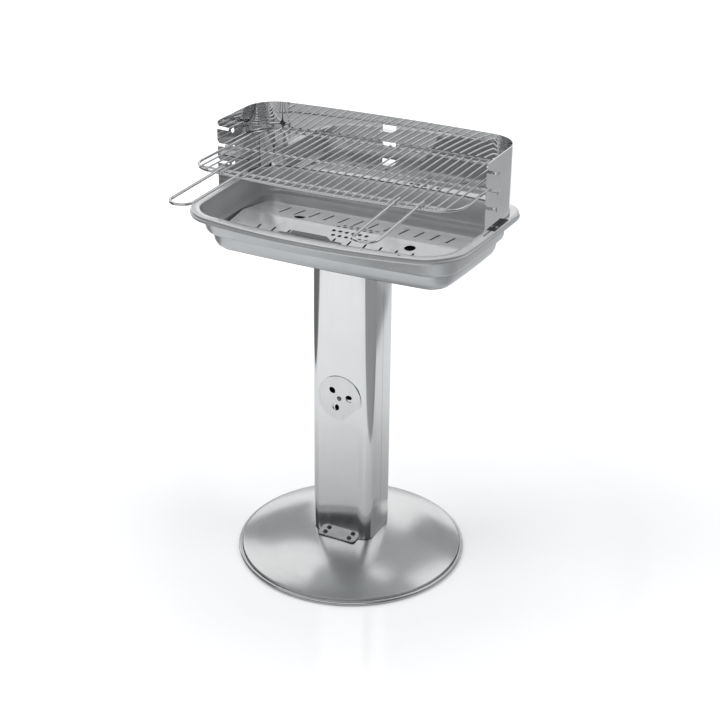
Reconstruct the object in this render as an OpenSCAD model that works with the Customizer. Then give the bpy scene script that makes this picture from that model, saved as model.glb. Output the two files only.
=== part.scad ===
// Charcoal grill on a square column: round domed foot, folded column with an air damper,
// drawn fire bowl, perforated charcoal plate, wrap-round windshield and a wire cooking grid
// with two folding wire handles.
// Millimetres. Z is up, the floor is z = 0, the column axis is x = 0 and y = 0, the front is -Y.

/* [Base] */
// outside diameter of the round foot
base_d = 464; // [420:1:500]
// height of the flat platform that the column stands on
base_h = 50; // [40:1:60]
// diameter of that flat platform
platform_d = 180; // [176:1:200]
// wire diameter of the rolled edge
base_bead_d = 9; // [7:0.5:12]
// how much of the rolled edge is pressed flat where it stands on the floor
base_bead_flat = 0.4; // [0.2:0.1:0.8]
// sheet thickness of the foot
base_t = 1.5; // [1:0.1:2]

/* [Column] */
// width of the column across the front
col_w = 132; // [120:1:140]
// depth of the column, front to back
col_d = 108; // [100:1:116]
// outside radius of the four folded corners
col_r = 24; // [18:1:28]
// sheet thickness of the two column shells
col_t = 1.2; // [0.8:0.1:1.6]
// width of the open joint between the front and the rear shell
seam_gap = 0.6; // [0.3:0.1:1.2]
// width of the lap strip behind that joint
seam_lap = 14; // [10:1:20]
// plate thickness of the top bracket
top_t = 2; // [1.5:0.1:2.5]
// height of the two legs of the top bracket
top_leg_h = 30; // [22:1:40]

/* [Foot brackets] */
// width of the tab that shows in front of the column
foot_w = 84; // [76:1:90]
// how far the tab reaches out of the column face
foot_reach = 19; // [18:1:21]
// plate thickness of the brackets
foot_t = 2.5; // [2:0.1:3]
// height of the bracket leg inside the column
foot_leg_h = 32; // [24:1:45]
// distance between the two screws of one bracket
foot_pitch = 54; // [46:1:58]
// corner radius of the tab
foot_r = 8; // [5:1:10]
// play of the tab in its slot in the column, on each side
tab_gap = 0.5; // [0.3:0.1:0.8]

/* [Damper] */
// diameter of the damper disc
disc_d = 94; // [88:1:98]
// sheet thickness of the damper disc
disc_t = 1.5; // [1:0.1:2]
// distance from the pivot to the straight edge of the disc
disc_flat = 39; // [36:1:42]
// height of the pivot above the floor
disc_z = 360; // [330:1:400]
// diameter of the three air holes in disc and column
air_d = 15; // [12:0.5:17]
// distance from the pivot to the middle of each air hole
air_r = 21.5; // [19:0.5:24]
// how far the disc is turned away from fully open
disc_turn = 12; // [0:1:25]
// shank diameter of the pivot rivet
pivot_d = 5; // [4:0.1:6]
// running clearance of the disc on its rivet, on the radius
pivot_run = 0.05; // [0.02:0.01:0.09]
// thickness of the spacing washer behind the disc
pivot_washer_t = 0.6; // [0.4:0.1:1]

/* [Fire bowl] */
// height of the rim above the floor
rim_z = 738; // [700:1:780]
// depth of the bowl, rim to the underside
bowl_depth = 85; // [80:1:92]
// sheet thickness of the bowl
bowl_t = 1.2; // [0.9:0.1:1.5]
// half width of the rim, outside
rim_a = 281; // [280:1:285]
// where the corners of the front edge lie
rim_front = -169; // [-173:1:-166]
// extra reach of the front edge in its middle
rim_front_bow = 39; // [34:1:42]
// where the corners of the rear edge lie
rim_rear = 157; // [155:1:162]
// extra reach of the rear edge in its middle
rim_rear_bow = 8; // [5:1:10]
// outside corner radius of the rim
rim_r = 60; // [52:1:64]
// width of the flat flange at both ends
flange_side = 19; // [18:0.5:20]
// width of the flange at the front corners
flange_front = 6; // [5:0.5:7]
// width of the flange at the rear
flange_rear = 20; // [19:0.5:21]
// how much less the inner edge of the front flange bows
flange_front_bow = 18; // [16:0.5:19]
// how much less the inner edge of the rear flange bows
flange_rear_bow = 3; // [2:0.5:4]
// how much smaller the corner radius of the inner edge is
flange_corner = 10; // [8:0.5:12]
// height of the turned-down skirt
skirt_h = 10; // [8:1:13]
// how far the rolled edge stands out of the skirt
bead_out = 2.2; // [1.5:0.1:3]
// growth of the half width for each millimetre towards the rear
splay = 0.045; // [0:0.005:0.05]
// extra reach of the two ends in their middle
end_bow = 3; // [1:0.5:4]
// diameter of the two outer holes in the front flange
rim_hole_d = 7; // [6:0.5:8]
// diameter of the two inner holes in the front flange
rim_hole_small_d = 5; // [4:0.5:6]
// distance between the two outer holes
rim_hole_span = 360; // [340:1:380]
// distance between the two inner holes
rim_hole_small_span = 224; // [200:1:240]
// diameter of the air opening over the column
bowl_air_d = 56; // [40:1:60]

/* [Charcoal plate] */
// sheet thickness of the charcoal plate
plate_t = 1; // [0.8:0.1:1.5]
// length of the plate
plate_l = 480; // [460:1:484]
// depth of the plate in front of its ridge
plate_front = 102; // [96:1:104]
// depth of the plate behind its ridge
plate_rear = 100; // [94:1:101]
// height of the ridge above the bowl floor
plate_ridge_h = 36; // [30:1:40]
// slope of both halves, in degrees
plate_slope = 7.5; // [5:0.5:9]
// distance between the slots
slot_pitch = 32; // [30:0.5:33]
// length of a slot
slot_l = 48; // [40:1:50]
// width of a slot
slot_w = 4; // [3:0.5:6]
// distance from the ridge to the nearest slot end
slot_from_ridge = 29; // [29:1:32]
// diameter of the small holes over the column
cluster_d = 8; // [6:0.5:8.5]
// distance between the small holes
cluster_pitch = 13.6; // [13:0.1:14]
// diameter of the two large holes
plate_hole_d = 21; // [16:1:24]
// width of the lifting tongue at the front
lug_w = 126; // [110:1:130]
// height of its upright grip
lug_h = 14; // [12:0.5:16]
// height of the top of the grip above the rim
lug_top = 4; // [2:0.5:5]
// where the upright grip stands
lug_y = -172; // [-173:0.5:-168]
// how much farther from the ridge the front slots lie than the rear ones
slot_front_more = 12; // [10:1:13]
// length of the cut-back of the plate feet at both ends
plate_foot_cut = 32; // [26:1:40]

/* [Windshield] */
// half width of the windshield, outside
shield_a = 275; // [274:0.5:276]
// where the middle of the back panel lies, outside
shield_rear = 150.5; // [150:0.5:151]
// how far the back panel bows out between its ends
shield_bow = 12; // [8:1:14]
// where the wings end at the front
shield_front = -30; // [-35:1:-24]
// height of the windshield
shield_h = 133; // [128:1:145]
// outside radius of the two rear corners
shield_r = 62; // [54:1:66]
// sheet thickness of the windshield
shield_t = 1.2; // [0.9:0.1:1.5]
// height of the folded hem on the top edge
hem_h = 7; // [5:1:10]
// extra thickness of the hem
hem_t = 0.8; // [0.6:0.1:1.2]
// height of the middle grid level above the rim
level_z = 72; // [70:0.5:74]
// distance between the grid levels
level_step = 33.5; // [32:0.5:35]
// where the support wire of the grid sits in the notches
seat_y = 8; // [6:1:12]
// slope of the notches, in degrees
notch_slope = 21; // [16:1:24]
// width of the outward feet of the windshield
shield_foot = 8; // [7.8:0.1:8.4]
// width of the lanced shelves in the back panel
shelf_w = 28; // [22:1:34]
// reach of those shelves under the rear frame wire
shelf_reach = 16; // [14:0.5:18]
// height of the windows over the shelves
shelf_window = 8; // [6:0.5:12]
// length of the two side feet
shield_foot_l = 64; // [58:1:68]
// where the middle of the side feet lies
shield_foot_y = 34; // [32:1:38]
// length of the rear foot
shield_rear_foot_l = 150; // [140:1:160]
// where the screws of the side feet lie
shield_screw_y = 18; // [16:1:30]
// distance of the rear screws from the middle
shield_back_x = 52; // [46:1:58]
// radius of the round upper front corners of the wings
shield_corner = 8; // [6:0.5:10]
// height of the flared mouth of a notch
notch_flare_h = 9; // [7:0.5:10]
// length of the flared mouth of a notch
notch_flare_l = 16; // [13:0.5:18]
// length of the relief hole behind the seat of the wire
notch_relief = 24; // [22:0.5:26]

/* [Cooking grid] */
// half width of the grid, middle of the frame wire
grid_a = 267; // [264:0.5:268]
// front frame wire
grid_front = -157; // [-162:1:-150]
// rear frame wire
grid_rear = 138; // [134:0.5:139]
// how far the front frame wire bows out between its ends
grid_front_bow = 18; // [14:1:20]
// how far the rear frame wire bows out between its ends
grid_rear_bow = 8; // [6:1:12]
// corner radius of the frame wire
grid_r = 50; // [46:1:54]
// diameter of the frame wire
frame_wire = 5; // [4.6:0.1:5.4]
// diameter of the support wire that hangs in the notches
support_wire = 4.6; // [4:0.1:5.2]
// diameter of the grid bars
bar_wire = 3.4; // [3:0.1:3.8]
// distance between the bars
bar_pitch = 16.9; // [16.6:0.1:17.4]
// how deep a bar is welded into the wire below it
weld = 0.5; // [0.3:0.1:0.7]
// diameter of the inner front wire that carries the handles
hinge_wire = 4.4; // [4:0.1:5]
// where the inner front wire lies behind the front frame wire
hinge_back = 27; // [26:1:30]
// how far the support wire stands out of the windshield
wire_out = 6; // [4:0.5:8]

/* [Handles] */
// wire diameter of the handles
handle_wire = 5.6; // [5:0.1:6]
// reach of the handles in front of the grid
handle_reach = 167; // [150:1:190]
// which gap between the bars holds the inner leg, counted from the middle
handle_gap = 9; // [8:1:9]
// number of gaps from the inner to the outer leg
handle_span = 3; // [2:1:3]
// how far both legs stand off the middle of their gaps, towards each other
handle_close = 3; // [1:0.1:3]
// droop of the outer part of the right handle, in degrees
handle_droop = 3.4; // [1:0.1:5]
// droop of the outer part of the left handle, in degrees
handle_droop_left = 1.8; // [1:0.1:5]
// clearance of the eyes on their wire, on the radius
eye_run = 0.4; // [0.3:0.05:0.6]

/* [Fasteners] */
// shank diameter of the foot screws and the bowl bolts
bolt_d = 6; // [5:0.5:6]
// clearance of those shanks in their holes, on the radius
bolt_gap = 0.3; // [0.2:0.05:0.5]
// distance of the bowl bolts from the middle, sideways
bowl_bolt_x = 46; // [44:1:48]
// distance of the bowl bolts from the middle, front to back
bowl_bolt_y = 34; // [32:1:36]
// shank diameter of the windshield screws
screw_d = 3.6; // [3:0.1:4]
// clearance of those shanks in their holes, on the radius
screw_gap = 0.2; // [0.1:0.05:0.3]

/* [Clearances] */
// clearance between the grid wires and the notches and shelves
wire_gap = 0.35; // [0.3:0.05:0.5]
// clearance between the handle legs and the frame wire
leg_gap = 0.3; // [0.3:0.05:0.5]

/* [Hidden] */
$fn = 96;
// overrun of every cut beyond the face that it leaves
over = 1;
// how far joined volumes of one piece run into each other
bite = 0.2;

// base
base_r = base_d / 2;
platform_r = platform_d / 2;
bead_r = base_bead_d / 2;
bead_mid = base_r - bead_r;
bead_z = bead_r - base_bead_flat;
groove_r = bead_mid - bead_r * 0.8;
groove_z = bead_z + bead_r * 0.3;
// the dome is part of a sphere through the groove and the platform edge
dome_c = (groove_r * groove_r + groove_z * groove_z - platform_r * platform_r - base_h * base_h)
         / (2 * (groove_z - base_h));
dome_r = sqrt(groove_r * groove_r + (groove_z - dome_c) * (groove_z - dome_c));

// column
half_w = col_w / 2;
half_d = col_d / 2;
bowl_z = rim_z - bowl_depth;
col_top = bowl_z - top_t;
inner_d = half_d - col_t;

// damper
face_y = -half_d;
disc_back = face_y - pivot_washer_t;
air_angles = [22, 142, 262];

// bolts
bolt_r = bolt_d / 2;
head_r = bolt_d * 0.85;
head_h = bolt_d * 0.5;
socket_r = bolt_d * 0.36;
socket_h = head_h * 0.6;
nut_r = bolt_d * 0.95;
nut_h = bolt_d * 0.8;
foot_screw_y = half_d + foot_reach * 0.47;
screw_r = screw_d / 2;
screw_head_r = screw_d * 0.83;
screw_head_h = screw_d * 0.55;
screw_nut_r = screw_d * 0.95;
screw_nut_h = screw_d * 0.8;

// bowl plan outlines: [half width, front, rear, corner radius, front bow, rear bow, height]
corner_steps = 8;
long_steps = 9;
end_steps = 3;
t = bowl_t;
lip = t;
in_a = rim_a - flange_side;
in_f = rim_front + flange_front;
in_b = rim_rear - flange_rear;
in_fb = rim_front_bow - flange_front_bow;
in_rb = rim_rear_bow - flange_rear_bow;
in_r = rim_r - flange_corner;
// Shape of the drawn wall from the bottom to the flange, in shares of the bowl depth:
// inset of ends and rear, inset of the front, loss of corner radius, of front bow, of rear
// bow, and height.
wall_shares = [
    [0.4, 0.635, 0.306, 0.176, 0.024, 0],
    [0.306, 0.53, 0.235, 0.165, 0.024, 0.024],
    [0.235, 0.459, 0.176, 0.165, 0.024, 0.082],
    [0.2, 0.412, 0.141, 0.153, 0.024, 0.188],
    [0.165, 0.365, 0.118, 0.153, 0.024, 0.381],
    [0.071, 0.271, 0.059, 0.141, 0.012, 0.426],
    [0.047, 0.224, 0.035, 0.129, 0.012, 0.487],
    [0.012, 0.035, 0, 0.012, 0, 0.953]];
// one level of the wall, outside (0) or inside (1) of the sheet
function wall(k, inside) = let (
    w = wall_shares[k],
    o = ((k < 3 ? 0 : 1) - inside) * t)
    [in_a - w[0] * bowl_depth + o, in_f + w[1] * bowl_depth - o, in_b - w[0] * bowl_depth + o,
     in_r - w[2] * bowl_depth - inside * t, in_fb - w[3] * bowl_depth,
     in_rb - w[4] * bowl_depth, bowl_z + w[5] * bowl_depth + inside * t];
function rim_level(out, z) = [rim_a + out, rim_front - out, rim_rear + out, rim_r + out,
    rim_front_bow, rim_rear_bow, z];
function edge_level(out, z) = [in_a + out, in_f - out, in_b + out, in_r + out, in_fb, in_rb, z];
levels = concat(
    [for (k = [0 : 7]) wall(k, 0)],
    [edge_level(t, rim_z - t),
     rim_level(-t, rim_z - t),
     rim_level(-t, rim_z - skirt_h),
     rim_level(bead_out * 0.7, rim_z - skirt_h - bead_out * 0.27),
     rim_level(bead_out, rim_z - skirt_h + bead_out * 0.73),
     rim_level(bead_out * 0.7, rim_z - skirt_h + bead_out * 1.64),
     rim_level(0, rim_z - skirt_h + bead_out * 2.09),
     rim_level(0, rim_z - lip * 1.2),
     rim_level(-lip * 0.4, rim_z - lip * 0.4),
     rim_level(-lip * 1.2, rim_z),
     edge_level(lip * 1.2, rim_z),
     edge_level(lip * 0.3, rim_z - lip * 0.5)],
    [for (k = [7 : -1 : 0]) wall(k, 1)]);

// windshield and grid levels
// the inner front wire lies this much lower than the top of the frame wire
level_drop = 0.12;
shield_top = rim_z + shield_h;
seat_z = rim_z + level_z;
frame_r = frame_wire / 2;
bar_r = bar_wire / 2;
support_r = support_wire / 2;
frame_z = seat_z + support_r + frame_r - weld;
bar_z = frame_z + frame_r + bar_r - weld;
// bars end this far beyond the middle of the frame wire
bar_end = frame_r * 0.96;
hinge_y = grid_front + hinge_back;
hinge_r = hinge_wire / 2;
handle_r = handle_wire / 2;
eye_mid = hinge_r + eye_run + handle_r;
hinge_z = bar_z - bar_r + weld - hinge_r - level_drop;
leg_z = max(frame_z + frame_r + leg_gap + handle_r, hinge_z + eye_mid);
leg_in = handle_gap * bar_pitch + handle_close;
leg_out = (handle_gap + handle_span) * bar_pitch - handle_close;
tip_r = (leg_out - leg_in) / 2;
// the bend of a handle is a little thicker than its wire
knuckle = 1.04;
// bars on each side of the middle
bar_count = floor((grid_a - frame_r) / bar_pitch - 0.1);
// radius of the arc that bows out by the given amount over the given half length
function arc_r(half, bow) = (half * half + bow * bow) / (2 * bow);
front_arc = arc_r(grid_a, grid_front_bow);
rear_arc = arc_r(grid_a, grid_rear_bow);
grid_cx = grid_a - grid_r;
front_cy = grid_front + front_arc - sqrt(pow(front_arc - grid_r, 2) - grid_cx * grid_cx);
rear_cy = grid_rear - rear_arc + sqrt(pow(rear_arc - grid_r, 2) - grid_cx * grid_cx);
front_turn = asin(grid_cx / (front_arc - grid_r));
rear_turn = asin(grid_cx / (rear_arc - grid_r));
// middle of the front and of the rear frame wire at a given x
function front_y(x) = abs(x) < front_arc * sin(front_turn)
    ? grid_front + front_arc - sqrt(front_arc * front_arc - x * x)
    : front_cy - sqrt(grid_r * grid_r - pow(abs(x) - grid_cx, 2));
function rear_y(x) = abs(x) < rear_arc * sin(rear_turn)
    ? grid_rear - rear_arc + sqrt(rear_arc * rear_arc - x * x)
    : rear_cy + sqrt(grid_r * grid_r - pow(abs(x) - grid_cx, 2));
bend_y = front_y(leg_in) - frame_r - handle_r;
plate_z = bowl_z + bowl_t + plate_ridge_h;
plate_floor = bowl_z + bowl_t;
lug_top_z = rim_z + lug_top;
// rows of small holes, counted in hole distances behind the ridge
cluster_row_shares = [-2.25, -1, 0.45, 1.4];
// sideways offset of each of those rows, counted in hole distances
cluster_shift_shares = [0.5, 0, 0, 0.5];

steel = [0.80, 0.81, 0.82];
polished = [0.72, 0.74, 0.76];
galvanised = [0.66, 0.67, 0.68];
dark_steel = [0.45, 0.46, 0.48];

// a rectangle with round corners, built from squares and circles
module round_rect(w, d, r) {
    square([w - 2 * r, d], center = true);
    square([w, d - 2 * r], center = true);
    for (sx = [-1, 1], sy = [-1, 1])
        translate([sx * (w / 2 - r), sy * (d / 2 - r)]) circle(r);
}

// a slot with round ends along Y
module slot_2d(w, l) {
    square([w, l - w], center = true);
    for (s = [-1, 1]) translate([0, s * (l - w) / 2]) circle(w / 2, $fn = 24);
}

// a button-head screw with a hexagon socket, head underside at z = 0, shank down
module socket_screw(r, l, hr, hh, sr, sh) {
    difference() {
        union() {
            translate([0, 0, -l]) cylinder(r = r, h = l + bite, $fn = 32);
            cylinder(r1 = hr, r2 = hr * 0.7, h = hh, $fn = 48);
        }
        translate([0, 0, hh - sh]) cylinder(r = sr, h = sh + over, $fn = 6);
    }
}

module hex_nut(r, h, bore) {
    difference() {
        cylinder(r = r, h = h, $fn = 6);
        translate([0, 0, -over]) cylinder(r = bore, h = h + 2 * over, $fn = 32);
    }
}

module base_disc() {
    color(polished) difference() {
        rotate_extrude() {
            // flat platform
            translate([0, base_h - base_t]) square([platform_r + bite, base_t]);
            // dome sheet between platform and groove
            intersection() {
                difference() {
                    translate([0, dome_c]) circle(dome_r, $fn = 360);
                    translate([0, dome_c]) circle(dome_r - base_t, $fn = 360);
                }
                translate([platform_r, 0]) square([groove_r - platform_r + bite, base_h + over]);
            }
            // rolled edge, pressed flat underneath
            intersection() {
                translate([bead_mid, bead_z]) circle(bead_r, $fn = 48);
                translate([groove_r - over, 0]) square([base_bead_d + 3 * over, base_bead_d]);
            }
        }
        for (sx = [-1, 1], sy = [-1, 1])
            translate([sx * foot_pitch / 2, sy * foot_screw_y, base_h - base_t - over])
                cylinder(r = bolt_r + bolt_gap, h = base_t + 2 * over, $fn = 32);
    }
}

// one foot bracket, tab towards -Y
module foot_bracket() {
    difference() {
        union() {
            translate([0, 0, base_h]) linear_extrude(foot_t) intersection() {
                translate([0, -half_d - foot_reach + foot_w / 2])
                    round_rect(foot_w, foot_w, foot_r);
                translate([-foot_w, -half_d - foot_reach - over])
                    square([2 * foot_w, foot_reach + col_t + foot_t + over]);
            }
            translate([-foot_w * 0.36, -inner_d, base_h])
                cube([foot_w * 0.72, foot_t, foot_leg_h]);
        }
        for (sx = [-1, 1]) translate([sx * foot_pitch / 2, -foot_screw_y, base_h - over])
            cylinder(r = bolt_r + bolt_gap, h = foot_t + 2 * over, $fn = 32);
    }
}

module foot_bracket_front() {
    color(steel) foot_bracket();
}

module foot_bracket_rear() {
    color(steel) rotate([0, 0, 180]) foot_bracket();
}

module foot_screws() {
    color(dark_steel) for (sx = [-1, 1], sy = [-1, 1])
        translate([sx * foot_pitch / 2, sy * foot_screw_y, base_h + foot_t])
            socket_screw(bolt_r, foot_t + base_t + nut_h + bolt_d * 0.2, head_r, head_h,
                         socket_r, socket_h);
}

module foot_nuts() {
    color(dark_steel) for (sx = [-1, 1], sy = [-1, 1])
        translate([sx * foot_pitch / 2, sy * foot_screw_y, base_h - base_t - nut_h])
            hex_nut(nut_r, nut_h, bolt_r);
}

// wall of the whole column in plan
module column_ring(w, d, r, wall) {
    difference() {
        round_rect(w, d, r);
        round_rect(w - 2 * wall, d - 2 * wall, r - wall);
    }
}

module tab_slot() {
    translate([-foot_w / 2 - tab_gap, -half_d - over, base_h - over])
        cube([foot_w + 2 * tab_gap, col_t + 2 * over, foot_t + over]);
}

module column_front_shell() {
    color(polished) difference() {
        translate([0, 0, base_h]) linear_extrude(col_top - base_h) intersection() {
            column_ring(col_w, col_d, col_r, col_t);
            translate([-col_w, -col_d]) square([2 * col_w, col_d - seam_gap / 2]);
        }
        tab_slot();
        for (a = air_angles)
            translate([air_r * cos(a), face_y - over, disc_z + air_r * sin(a)])
                rotate([-90, 0, 0]) cylinder(r = air_d / 2, h = col_t + 2 * over, $fn = 64);
        translate([0, face_y - over, disc_z]) rotate([-90, 0, 0])
            cylinder(r = pivot_d / 2, h = col_t + 2 * over, $fn = 48);
    }
}

module column_rear_shell() {
    color(polished) difference() {
        translate([0, 0, base_h]) linear_extrude(col_top - base_h) {
            intersection() {
                column_ring(col_w, col_d, col_r, col_t);
                translate([-col_w, seam_gap / 2]) square([2 * col_w, col_d]);
            }
            // lap strips that reach behind the front shell
            for (s = [-1, 1])
                translate([s * (half_w - 1.5 * col_t) - col_t / 2, -seam_lap / 2])
                    square([col_t, seam_lap]);
        }
        rotate([0, 0, 180]) tab_slot();
    }
}

module column_top_bracket() {
    color(steel) difference() {
        union() {
            translate([0, 0, col_top]) linear_extrude(top_t) round_rect(col_w, col_d, col_r);
            for (s = [-1, 1])
                translate([-half_w * 0.55, s * (inner_d - top_t / 2) - top_t / 2, col_top - top_leg_h])
                    cube([half_w * 1.1, top_t, top_leg_h + bite]);
        }
        translate([0, 0, col_top - over])
            cylinder(r = bowl_air_d / 2, h = top_t + 2 * over, $fn = 72);
        for (sx = [-1, 1], sy = [-1, 1])
            translate([sx * bowl_bolt_x, sy * bowl_bolt_y, col_top - over])
                cylinder(r = bolt_r + bolt_gap, h = top_t + 2 * over, $fn = 32);
    }
}

// the disc lies in the XZ plane in front of the column and turns about its rivet
module damper_disc() {
    color(polished) translate([0, disc_back, disc_z]) rotate([90, 0, 0]) difference() {
        linear_extrude(disc_t) rotate(-45) intersection() {
            circle(disc_d / 2);
            translate([-disc_d, -disc_d]) square([disc_d + disc_flat, 2 * disc_d]);
        }
        for (a = air_angles) rotate(a - disc_turn) translate([air_r, 0, -over])
            cylinder(r = air_d / 2, h = disc_t + 2 * over, $fn = 64);
        translate([0, 0, -over])
            cylinder(r = pivot_d / 2 + pivot_run, h = disc_t + 2 * over, $fn = 48);
    }
}

module damper_washer() {
    color(steel) translate([0, face_y, disc_z]) rotate([90, 0, 0]) difference() {
        cylinder(r = pivot_d * 1.1, h = pivot_washer_t - pivot_run, $fn = 48);
        translate([0, 0, -over]) cylinder(r = pivot_d / 2, h = pivot_washer_t + 2 * over, $fn = 48);
    }
}

module damper_rivet() {
    color(steel) translate([0, 0, disc_z]) rotate([90, 0, 0]) {
        translate([0, 0, -face_y - col_t - pivot_d * 0.3])
            cylinder(r = pivot_d / 2, h = col_t + pivot_washer_t + disc_t + pivot_d * 0.5, $fn = 48);
        // formed head in front of the disc
        translate([0, 0, -disc_back + disc_t + pivot_run])
            cylinder(r1 = pivot_d, r2 = pivot_d * 0.55, h = pivot_d * 0.4, $fn = 48);
        // closing head inside the column
        translate([0, 0, -face_y - col_t - pivot_d * 0.4])
            cylinder(r = pivot_d * 0.9, h = pivot_d * 0.4, $fn = 48);
    }
}

// bowl outline at one level, anticlockwise from the front right corner
function corner_arc(cx, cy, r, a) = [for (i = [0 : corner_steps])
    [cx + r * cos(a + 90 * i / corner_steps), cy + r * sin(a + 90 * i / corner_steps)]];
function plain_plan(a, f, b, r) = concat(
    corner_arc(a - r, f + r, r, -90),
    [for (i = [1 : end_steps]) [a, f + r + (b - f - 2 * r) * i / (end_steps + 1)]],
    corner_arc(a - r, b - r, r, 0),
    [for (i = [1 : long_steps]) [(a - r) * (1 - 2 * i / (long_steps + 1)), b]],
    corner_arc(r - a, b - r, r, 90),
    [for (i = [1 : end_steps]) [-a, b - r - (b - f - 2 * r) * i / (end_steps + 1)]],
    corner_arc(r - a, f + r, r, 180),
    [for (i = [1 : long_steps]) [(a - r) * (2 * i / (long_steps + 1) - 1), f]]);
function bowed(p, L) = let (
    u = p[0] / L[0],
    v = (2 * p[1] - L[1] - L[2]) / (L[2] - L[1]))
    [p[0] * (1 + splay * p[1] / L[0]) + end_bow * u * (1 - v * v),
     p[1] + (v < 0 ? L[4] : L[5]) * v * (1 - u * u), L[6]];
function ring(L) = [for (p = plain_plan(L[0], L[1], L[2], L[3])) bowed(p, L)];

ring_n = 4 * (corner_steps + 1) + 2 * end_steps + 2 * long_steps;

module bowl_shell() {
    n = ring_n;
    last = len(levels) - 1;
    pts = [for (L = levels) each ring(L)];
    walls = [for (j = [0 : last - 1], i = [0 : n - 1]) each [
        [j * n + i, (j + 1) * n + i, (j + 1) * n + (i + 1) % n],
        [j * n + i, (j + 1) * n + (i + 1) % n, j * n + (i + 1) % n]]];
    polyhedron(points = pts, faces = concat(
        [[for (i = [0 : n - 1]) i]], [[for (i = [n - 1 : -1 : 0]) last * n + i]], walls),
        convexity = 8);
}

// middle of the front flange at a given x
function flange_y(x) = -(-(rim_front + in_f) / 2 + (rim_front_bow + in_fb) / 2
    * (1 - x * x / pow(rim_a - flange_side / 2, 2)));

shield_screw_x = shield_a + shield_foot * 0.52;
shield_back_y = shield_rear + shield_foot * 0.48;

module shield_screw_places() {
    for (s = [-1, 1]) {
        translate([s * shield_screw_x, shield_screw_y, 0]) children();
        translate([s * shield_back_x, shield_back_y, 0]) children();
    }
}

module fire_bowl() {
    color(galvanised) difference() {
        bowl_shell();
        for (s = [-1, 1]) {
            translate([s * rim_hole_span / 2, flange_y(rim_hole_span / 2), rim_z - t - over])
                cylinder(r = rim_hole_d / 2, h = t + 2 * over, $fn = 32);
            translate([s * rim_hole_small_span / 2, flange_y(rim_hole_small_span / 2),
                       rim_z - t - over])
                cylinder(r = rim_hole_small_d / 2, h = t + 2 * over, $fn = 32);
        }
        translate([0, 0, bowl_z - over])
            cylinder(r = bowl_air_d / 2, h = t + 2 * over, $fn = 72);
        for (sx = [-1, 1], sy = [-1, 1])
            translate([sx * bowl_bolt_x, sy * bowl_bolt_y, bowl_z - over])
                cylinder(r = bolt_r + bolt_gap, h = t + 2 * over, $fn = 32);
        translate([0, 0, rim_z - t - over]) shield_screw_places()
            cylinder(r = screw_r + screw_gap, h = t + 2 * over, $fn = 24);
    }
}

module bowl_bolts() {
    color(dark_steel) for (sx = [-1, 1], sy = [-1, 1])
        translate([sx * bowl_bolt_x, sy * bowl_bolt_y, bowl_z + t])
            socket_screw(bolt_r, t + top_t + nut_h + bolt_d * 0.2, head_r, head_h,
                         socket_r, socket_h);
}

module bowl_nuts() {
    color(dark_steel) for (sx = [-1, 1], sy = [-1, 1])
        translate([sx * bowl_bolt_x, sy * bowl_bolt_y, col_top - nut_h])
            hex_nut(nut_r, nut_h, bolt_r);
}

// section of the folded plate in the YZ plane, laid out as [y, z]
module plate_section() {
    k = tan(plate_slope);
    zf = plate_z - plate_front * k;
    zr = plate_z - plate_rear * k;
    polygon([[-plate_front, plate_floor], [-plate_front, zf], [0, plate_z], [plate_rear, zr],
             [plate_rear, plate_floor], [plate_rear - plate_t, plate_floor],
             [plate_rear - plate_t, zr - plate_t], [0, plate_z - plate_t],
             [-plate_front + plate_t, zf - plate_t], [-plate_front + plate_t, plate_floor]]);
}

// section of the tongue, upright part up to the given height
module tongue_section(top) {
    zf = plate_z - plate_front * tan(plate_slope);
    bend = lug_top_z - lug_h;
    polygon([[-plate_front, zf - plate_t], [lug_y, bend - plate_t], [lug_y, top],
             [lug_y + plate_t, top], [lug_y + plate_t, bend], [-plate_front + plate_t, zf]]);
}

module charcoal_plate() {
    front_mid = slot_from_ridge + slot_l / 2 + slot_front_more;
    rear_mid = slot_from_ridge + slot_l / 2;
    color(galvanised) difference() {
        union() {
            difference() {
                rotate([90, 0, 90]) translate([0, 0, -plate_l / 2])
                    linear_extrude(plate_l) plate_section();
                // the feet stop short of the bowl corners
                for (s = [-1, 1])
                    translate([s * plate_l / 2 - plate_foot_cut, -plate_front - over, plate_floor - over])
                        cube([2 * plate_foot_cut, plate_front + plate_rear + 2 * over,
                              plate_ridge_h - plate_front * tan(plate_slope) - plate_t * 3]);
            }
            // lifting tongue that rises along the front wall to an upright grip
            rotate([90, 0, 90]) translate([0, 0, -lug_w / 2]) linear_extrude(lug_w)
                tongue_section(lug_top_z - lug_h * 0.48);
            rotate([90, 0, 90]) translate([0, 0, -lug_w * 0.27]) linear_extrude(lug_w * 0.54)
                tongue_section(lug_top_z);
            for (s = [-1, 1]) translate([s * lug_w * 0.27, lug_y + plate_t, lug_top_z - lug_h * 0.5])
                rotate([90, 0, 0]) linear_extrude(plate_t)
                    polygon([[-s, 0], [-s, lug_h * 0.5], [0, lug_h * 0.5], [s * lug_h * 0.6, 0]]);
        }
        translate([0, 0, plate_floor + plate_ridge_h * 0.3]) linear_extrude(bowl_depth) {
            for (i = [0 : 11]) {
                translate([(i - 5.5) * slot_pitch, -front_mid]) slot_2d(slot_w, slot_l);
                translate([(i - 5.5) * slot_pitch, rear_mid]) slot_2d(slot_w, slot_l);
            }
            for (i = [0 : 5], j = [0 : 3])
                translate([(i - 2.5 + cluster_shift_shares[j]) * cluster_pitch,
                           cluster_row_shares[j] * cluster_pitch])
                    circle(cluster_d / 2, $fn = 24);
            translate([plate_l * 0.269, -cluster_pitch * 1.9]) circle(plate_hole_d / 2, $fn = 48);
            translate([-plate_l * 0.263, cluster_pitch * 1.5]) circle(plate_hole_d / 2, $fn = 48);
        }
    }
}

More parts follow.
